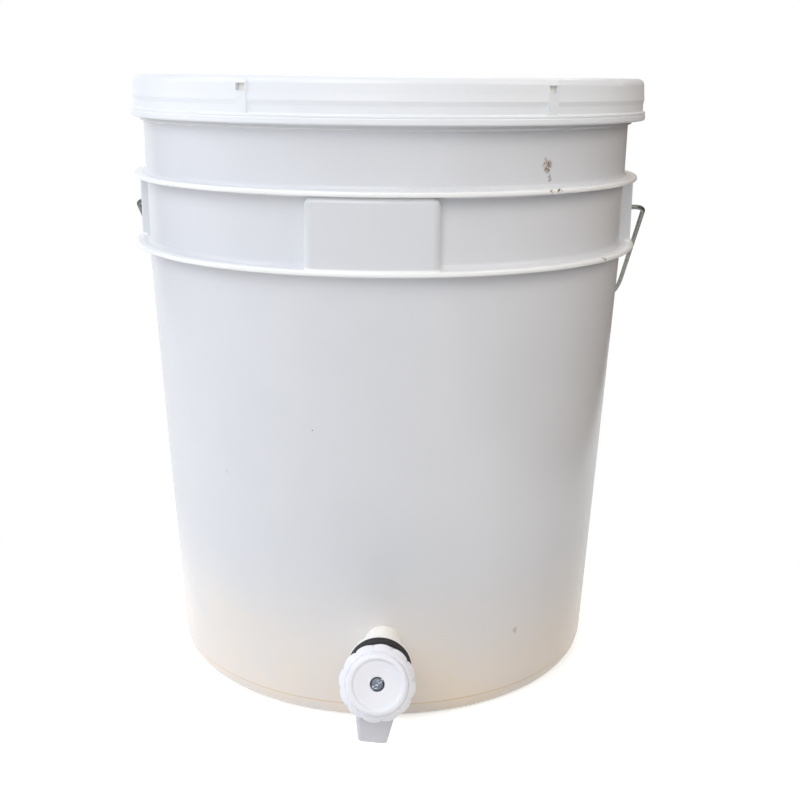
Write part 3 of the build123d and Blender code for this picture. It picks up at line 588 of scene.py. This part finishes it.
glint_pattern = {"Vector": screw_place, "Scale": per(1.3), "Detail": 3}
glint_noise = add(screw_tree, "ShaderNodeTexNoise", glint_pattern).outputs["Fac"]
torn = {"Value": glint_noise, "From Min": 0.5, "From Max": 0.6}
glint_spots = add(screw_tree, "ShaderNodeMapRange", torn).outputs["Result"]
painted_highlight = add(screw_tree, "ShaderNodeMath", {0: beside, 1: glint_spots}, operation="MULTIPLY").outputs["Value"]
# painted highlight: bright streaks beside the slot stand in for light caught on its edges
highlighted = {0: painted_highlight, 6: plain, 7: linear("#E2E8EE")}
screw_colour = add(screw_tree, "ShaderNodeMix", highlighted, data_type="RGBA").outputs[2]
screw_tree.links.new(screw_colour, screw_shader.inputs["Base Color"])
print("scraped the", finishes["screw_steel"].name)

# %% [markdown]
# ## The grip
#
# The roller on the bail is blown in a two-part mould, so a fine parting line runs along it on both sides.
# On the lathe that is two lobes made so sharp that they are only ridges. Its length and ends are read
# from the CAD grip, which it replaces.

# %% Grip outline
GRIP_R = 8.2
GRIP_END_L = 5.0
GRIP_BORE_R = 1.53
GRIP_GROOVES = 5
GROOVE_DEPTH = 0.85
GROOVE_HALF = 1.45
GRIP_SLOPE = 1.5            # each thick end slopes down to the grip over this length
PARTING_HEIGHT = 0.18       # of the parting line, on top of the largest radius

grip_low, grip_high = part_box("bail_grip")
grip_half = (grip_high.x - grip_low.x) / 2 / MM
grip_end_r = (grip_high.z - grip_low.z) / 2 / MM - PARTING_HEIGHT - 0.02
grip_neck = grip_half - GRIP_END_L
grip_points = [(GRIP_BORE_R, -grip_half, 0.3), (grip_end_r, -grip_half, 1.2), (grip_end_r, -grip_neck, 1.2)]
grip_points.append((GRIP_R, -grip_neck + GRIP_SLOPE, 0.8))
for i in range(GRIP_GROOVES):
    middle = -grip_neck + (i + 1) * 2 * grip_neck / (GRIP_GROOVES + 1)
    grip_points.append((GRIP_R, middle - GROOVE_HALF, 0.6))
    grip_points.append((GRIP_R - GROOVE_DEPTH, middle, 1.2))
    grip_points.append((GRIP_R, middle + GROOVE_HALF, 0.6))
grip_points.append((GRIP_R, grip_neck - GRIP_SLOPE, 0.8))
grip_points += [(grip_end_r, grip_neck, 1.2), (grip_end_r, grip_half, 1.2), (GRIP_BORE_R, grip_half, 0.3)]
print("the grip is", round(2 * grip_half, 1), "mm long")

# %% Grip
SHARP = 2500.0              # a power this high leaves only a thin ridge of each lobe
grip_place = Matrix.Translation((grip_low + grip_high) / 2) @ Matrix.Rotation(pi / 2, 4, "Y")
grip = grow("roller_grip", lathe, {
    "Steps": 512, "Corner Steps": 3, "Lobes": 2, "Lobe Height": PARTING_HEIGHT * MM, "Lobe Power": SHARP,
    "Lobe From": 5 * MM, "Lobe To": 6 * MM, "Material": finishes["grip_plastic"],
}, grip_place, outline_mesh("grip outline", grip_points))
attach(grip, "grip")
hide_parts("bail_grip")

# %% [markdown]
# ## Mould marks
#
# Ejector pins push a moulding out of its tool and leave faint round marks in rings, on the lid's panel and
# under the base. One tree makes a ring of shallow discs, and is run once for each ring.

# %% Ejector marks
def mark_ring_tree():
    """A ring of shallow round marks."""
    sizes = {"Count": "Int", "Ring Radius": "Float", "Level": "Float", "Mark Radius": "Float"}
    sizes.update({"Mark Height": "Float", "Material": "Material"})
    tree, given, out = start_tree("ring of ejector marks", sizes, has_mesh=False)
    ring = {"Vertices": given["Count"], "Radius": given["Ring Radius"]}
    points = add(tree, "GeometryNodeMeshCircle", ring).outputs["Mesh"]
    lift = add(tree, "ShaderNodeCombineXYZ", {"Z": given["Level"]}).outputs["Vector"]
    raised = add(tree, "GeometryNodeSetPosition", {"Geometry": points, "Offset": lift}).outputs["Geometry"]
    disc = {"Vertices": 40, "Radius": given["Mark Radius"], "Depth": given["Mark Height"]}
    pin = add(tree, "GeometryNodeMeshCylinder", disc).outputs["Mesh"]
    marks = add(tree, "GeometryNodeInstanceOnPoints", {"Points": raised, "Instance": pin})
    finish_tree(tree, marks.outputs["Instances"], given["Material"], out, smooth=False)
    return tree


PANEL_TOP = 353.6           # height of the lid's sunken panel
BASE_PANEL = 2.0            # the base panel stands this far above the ground
mark_rings = mark_ring_tree()
lid_marks = grow("lid_ejector_marks", mark_rings, {
    "Count": 12, "Ring Radius": 72 * MM, "Level": PANEL_TOP * MM, "Mark Radius": 5 * MM,
    "Mark Height": 0.3 * MM, "Material": finishes["lid_plastic"],
})
base_marks = grow("base_ejector_marks", mark_rings, {
    "Count": 6, "Ring Radius": 62 * MM, "Level": BASE_PANEL * MM, "Mark Radius": 6 * MM,
    "Mark Height": 0.4 * MM, "Material": finishes["pail_plastic"],
})
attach(lid_marks, "lid")
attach(base_marks, "pail")

# %% [markdown]
# ## Flash on the flanges
#
# The mould halves meet at the edges of the two flanges, and a little plastic squeezes out between them.
# What is left after trimming is a line of uneven slivers, which breaks up an edge that would look too
# perfect. Points on a circle carry slivers of random length, and a random choice leaves most points bare.

# %% Flange flash tree
SLIVER_LEAST = (0.12 * MM, 0.5 * MM, 0.1 * MM)      # half sizes outwards, along the edge and upwards
SLIVER_MOST = (0.3 * MM, 3.2 * MM, 0.45 * MM)


def flash_tree():
    """Slivers of flash round a flange edge, of random size, on a random share of the points."""
    sizes = {"Radius": "Float", "Level": "Float", "Points": "Int", "Share": "Float", "Seed": "Int"}
    sizes["Material"] = "Material"
    tree, given, out = start_tree("flange flash", sizes, has_mesh=False)
    ring = {"Vertices": given["Points"], "Radius": given["Radius"]}
    points = add(tree, "GeometryNodeMeshCircle", ring).outputs["Mesh"]
    lift = add(tree, "ShaderNodeCombineXYZ", {"Z": given["Level"]}).outputs["Vector"]
    raised = add(tree, "GeometryNodeSetPosition", {"Geometry": points, "Offset": lift}).outputs["Geometry"]
    chip = add(tree, "GeometryNodeMeshIcoSphere", {"Subdivisions": 1, "Radius": 1.0}).outputs["Mesh"]
    chance = {"Probability": given["Share"], "Seed": given["Seed"]}
    chosen = add(tree, "FunctionNodeRandomValue", chance, data_type="BOOLEAN").outputs[3]
    spread = {0: SLIVER_LEAST, 1: SLIVER_MOST, "Seed": given["Seed"]}
    size = add(tree, "FunctionNodeRandomValue", spread, data_type="FLOAT_VECTOR").outputs[0]
    outwards = add(tree, "GeometryNodeInputPosition").outputs[0]
    facing = add(tree, "FunctionNodeAlignRotationToVector", {"Vector": outwards}, axis="X", pivot_axis="Z")
    placed = {"Points": raised, "Selection": chosen, "Instance": chip, "Scale": size}
    placed["Rotation"] = facing.outputs["Rotation"]
    slivers = add(tree, "GeometryNodeInstanceOnPoints", placed).outputs["Instances"]
    finish_tree(tree, slivers, given["Material"], out)
    return tree


flash = flash_tree()
print("the flash tree has", len(flash.nodes), "nodes")

# %% Flange flash
LOW_FLANGE_EDGE = 264.7     # heights of the two edges
TOP_FLANGE_EDGE = 305.2
FLASH_SHARE = 0.07          # this share of the points carries a sliver
for level, seed in ((LOW_FLANGE_EDGE, 3), (TOP_FLANGE_EDGE, 8)):
    slivers = grow(f"flange_flash_{seed}", flash, {
        "Radius": FLANGE_R * MM, "Level": level * MM, "Points": 420, "Share": FLASH_SHARE, "Seed": seed,
        "Material": finishes["pail_plastic"],
    })
    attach(slivers, "pail")

# %% [markdown]
# ## The thread inside the pail
#
# The tap's neck is screwed through the wall and held by a nut inside. Past the nut the end of its thread
# shows when the lid is off. A thread follows a path, so a spiral is swept with a three-sided section.

# %% Tail thread
def thread_tree():
    """A raised thread: a spiral swept with a three-sided section."""
    sizes = {"Turns": "Float", "Radius": "Float", "Length": "Float", "Ridge": "Float", "Material": "Material"}
    tree, given, out = start_tree("tail thread", sizes, has_mesh=False)
    helix = {"Resolution": 72, "Rotations": given["Turns"], "Height": given["Length"]}
    helix.update({"Start Radius": given["Radius"], "End Radius": given["Radius"]})
    path = add(tree, "GeometryNodeCurveSpiral", helix).outputs["Curve"]
    ridge = {"Resolution": 3, "Radius": given["Ridge"]}
    section = add(tree, "GeometryNodeCurvePrimitiveCircle", ridge, mode="RADIUS").outputs["Curve"]
    swept = {"Curve": path, "Profile Curve": section, "Fill Caps": True}
    thread = add(tree, "GeometryNodeCurveToMesh", swept).outputs["Mesh"]
    finish_tree(tree, thread, given["Material"], out, smooth=False)
    return tree


TAIL_R = 10.1
TAIL_PITCH = 1.81           # fourteen turns to the inch
TAIL_SHOWN = 6.0            # length of tail past the nut
NUT_HALF = 4.0              # half the nut's thickness
THREAD_GAP = 0.9            # the thread starts this far past the nut

nut_low, nut_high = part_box("tap_back_nut")
ring_low, ring_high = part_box("tap_flange_ring")
tap_out = ((ring_low + ring_high) / 2 - (nut_low + nut_high) / 2).normalized()
tail_turn = tap_out.to_track_quat("Z", "Y").to_matrix().to_4x4()
tail_start = (nut_low + nut_high) / 2 - tap_out * (NUT_HALF + THREAD_GAP + TAIL_SHOWN) * MM
thread = grow("tail_thread", thread_tree(), {
    "Turns": TAIL_SHOWN / TAIL_PITCH, "Radius": TAIL_R * MM, "Length": TAIL_SHOWN * MM, "Ridge": 0.75 * MM,
    "Material": finishes["connector_plastic"],
}, Matrix.Translation(tail_start) @ tail_turn)
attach(thread, "pail")

# %% [markdown]
# ## The spout's parting line
#
# The spout was moulded in two halves that met along the middle of its front. They leave a fine ridge there,
# which catches the light. It follows a straight path from the spout's break to its mouth, so a line is swept
# with a small round section. The mouth and its direction come from the record's mount for the outlet.

# %% Spout ridge
def ridge_tree():
    """A fine straight ridge between two points."""
    sizes = {"From": "Vector", "To": "Vector", "Ridge": "Float", "Material": "Material"}
    tree, given, out = start_tree("parting ridge", sizes, has_mesh=False)
    line = add(tree, "GeometryNodeCurvePrimitiveLine", {"Start": given["From"], "End": given["To"]})
    round_section = {"Resolution": 12, "Radius": given["Ridge"]}
    section = add(tree, "GeometryNodeCurvePrimitiveCircle", round_section, mode="RADIUS").outputs["Curve"]
    swept = {"Curve": line.outputs["Curve"], "Profile Curve": section, "Fill Caps": True}
    ridge = add(tree, "GeometryNodeCurveToMesh", swept).outputs["Mesh"]
    finish_tree(tree, ridge, given["Material"], out)
    return tree


SPOUT_TAPER = 12.5          # length of the spout below its break
MOUTH_HALF = 6.8            # half the spout's depth at its mouth and at its break
BREAK_HALF = 7.2

outlet = next(mount for mount in frame["record"]["mounts"] if mount["name"] == "spout_outlet")
mouth, spout_down = Vector(outlet["pos_m"]), Vector(outlet["axis"])
ridge = grow("spout_parting_ridge", ridge_tree(), {
    "From": mouth - spout_down * 0.4 * MM + tap_out * MOUTH_HALF * MM,
    "To": mouth - spout_down * SPOUT_TAPER * MM + tap_out * BREAK_HALF * MM,
    "Ridge": 0.3 * MM, "Material": finishes["spout_plastic"],
})
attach(ridge, "pail")

# %% [markdown]
# ## The stage
#
# The pail stands on plain pale paper. Around the pail the paper shows its shadow, and further out it turns
# into plain white, which the world continues. Only camera, glossy and transmission rays see that white:
# the light on the pail comes from the lamps and a dimmer world.

# %% Paper
PAPER_GLOW = 0.58           # lifts the lit paper to near white
SHADOW_NEAR, SHADOW_FAR = 0.17, 0.34    # the shadow fades out between these distances, in metres


def seen_by_eye(tree):
    """1 for the rays that show the background to the eye, straight or in a reflection."""
    path = add(tree, "ShaderNodeLightPath").outputs
    straight_or_mirrored = {0: path["Is Camera Ray"], 1: path["Is Glossy Ray"]}
    two = add(tree, "ShaderNodeMath", straight_or_mirrored, operation="MAXIMUM").outputs["Value"]
    three = {0: two, 1: path["Is Transmission Ray"]}
    return add(tree, "ShaderNodeMath", three, operation="MAXIMUM").outputs["Value"]


def paper():
    """Matt white paper that fades to plain white away from the pail."""
    material, tree, shader, place = start_material("matt paper")
    sheet = add(tree, "ShaderNodeBsdfDiffuse", {"Color": linear("#EAE9E7")}).outputs["BSDF"]
    glow = add(tree, "ShaderNodeEmission", {"Strength": PAPER_GLOW}).outputs["Emission"]
    lit = add(tree, "ShaderNodeAddShader", {0: sheet, 1: glow}).outputs["Shader"]
    white = add(tree, "ShaderNodeEmission", {"Strength": 1.0}).outputs["Emission"]
    away = add(tree, "ShaderNodeVectorMath", {0: place}, operation="LENGTH").outputs["Value"]
    reach = {"Value": away, "From Min": SHADOW_NEAR, "From Max": SHADOW_FAR}
    far = add(tree, "ShaderNodeMapRange", reach, interpolation_type="SMOOTHSTEP").outputs["Result"]
    shown = add(tree, "ShaderNodeMixShader", {0: far, 1: lit, 2: white}).outputs["Shader"]
    surface = add(tree, "ShaderNodeMixShader", {0: seen_by_eye(tree), 1: sheet, 2: shown}).outputs["Shader"]
    tree.links.new(surface, tree.nodes["Material Output"].inputs["Surface"])
    tree.nodes.remove(shader)
    return material


FLOOR_R = 12.0
ground = bmesh.new()
bmesh.ops.create_circle(ground, cap_ends=True, segments=96, radius=FLOOR_R)
floor_mesh = bpy.data.meshes.new("floor")
ground.to_mesh(floor_mesh)
ground.free()
floor_mesh.materials.append(paper())
floor = bpy.data.objects.new("floor", floor_mesh)
bpy.context.scene.collection.objects.link(floor)
print("the floor is", FLOOR_R * 2, "m across")

# %% World
WORLD_LIGHT = 0.24
world = bpy.data.worlds.new("studio")
bpy.context.scene.world = world
world.use_nodes = True
sky = world.node_tree
lighting = {"Color": linear("#F4F6FA"), "Strength": WORLD_LIGHT}
dim = add(sky, "ShaderNodeBackground", lighting).outputs["Background"]
bright = add(sky, "ShaderNodeBackground", {"Color": linear("#FFFFFF"), "Strength": 1.0}).outputs["Background"]
shown = add(sky, "ShaderNodeMixShader", {0: seen_by_eye(sky), 1: dim, 2: bright}).outputs["Shader"]
sky.links.new(shown, sky.nodes["World Output"].inputs["Surface"])
print("the world lights the pail at", WORLD_LIGHT)

# %% [markdown]
# ## The light
#
# A large soft lamp on the left gives the pail its bright side, and a wide one near the camera fills the
# front. Three stand higher, on the left, in front and on the right: they whiten the tops of the flanges and
# leave a soft shadow under each. Hung any higher, they would wash out the rings and gussets on top of the
# lid. A warm lamp lights the back.

# %% Lamps
PAIL_MIDDLE = Vector((0, 0, 0.2))


def soft_lamp(name, place, size, power, colour):
    """A square area lamp that faces the middle of the pail."""
    lamp = bpy.data.objects.new(name, bpy.data.lights.new(name, "AREA"))
    bpy.context.scene.collection.objects.link(lamp)
    lamp.data.size = size
    lamp.data.energy = power
    lamp.data.color = linear(colour)[:3]
    lamp.location = place
    lamp.rotation_euler = (Vector(place) - PAIL_MIDDLE).to_track_quat("Z", "Y").to_euler()
    print(name, "gives", power, "W")


soft_lamp("left lamp", (-1.9, -0.1, 0.8), 1.3, 12, "#F1F5FF")
soft_lamp("high left lamp", (-1.6, -0.15, 1.5), 0.9, 8.5, "#F6F9FF")
soft_lamp("front lamp", (-0.3, -2.2, 1.1), 1.6, 7.5, "#FAFBFF")
soft_lamp("high front lamp", (-0.45, -1.6, 1.5), 1.3, 13.5, "#FBFCFF")
soft_lamp("high right lamp", (1.6, -0.7, 1.4), 1.2, 16, "#FFF6EA")
soft_lamp("back lamp", (0.4, 1.7, 1.2), 1.2, 14, "#FFF8EE")

# %% [markdown]
# A photographer also stands cards beside a shiny thing, so that its edges mirror something darker than the
# white room. Only the gloss sees these cards, but for a low one on the right, which takes the light off the
# wall and leaves it on the lid.

# %% Cards
def upright_card(name, start, end, top, colour, only_gloss=True):
    """A matt card that stands on the floor between two points and isn't seen by the camera."""
    material, _, shader, _ = start_material(name)
    shader.inputs["Base Color"].default_value = linear(colour)
    shader.inputs["Roughness"].default_value = 0.9
    mesh = bpy.data.meshes.new(name)
    mesh.from_pydata([(*start, 0), (*end, 0), (*end, top), (*start, top)], [], [(0, 1, 2, 3)])
    mesh.materials.append(material)
    card = bpy.data.objects.new(name, mesh)
    bpy.context.scene.collection.objects.link(card)
    card.visible_camera = False
    card.visible_diffuse = card.visible_shadow = not only_gloss
    print(name, "is", top, "m tall")


upright_card("low brown card", (0.42, -0.7), (0.42, 0.7), 0.29, "#5E4C3C", only_gloss=False)
upright_card("brown card", (0.62, -0.8), (0.62, 0.8), 1.1, "#5E4A38")
upright_card("grey card", (-0.9, -0.8), (-0.9, 0.8), 1.1, "#BEBEC4")
upright_card("back card", (0.1, 0.9), (1.2, 0.9), 1.1, "#6E6258")
bpy.context.scene.view_settings.view_transform = "Standard"
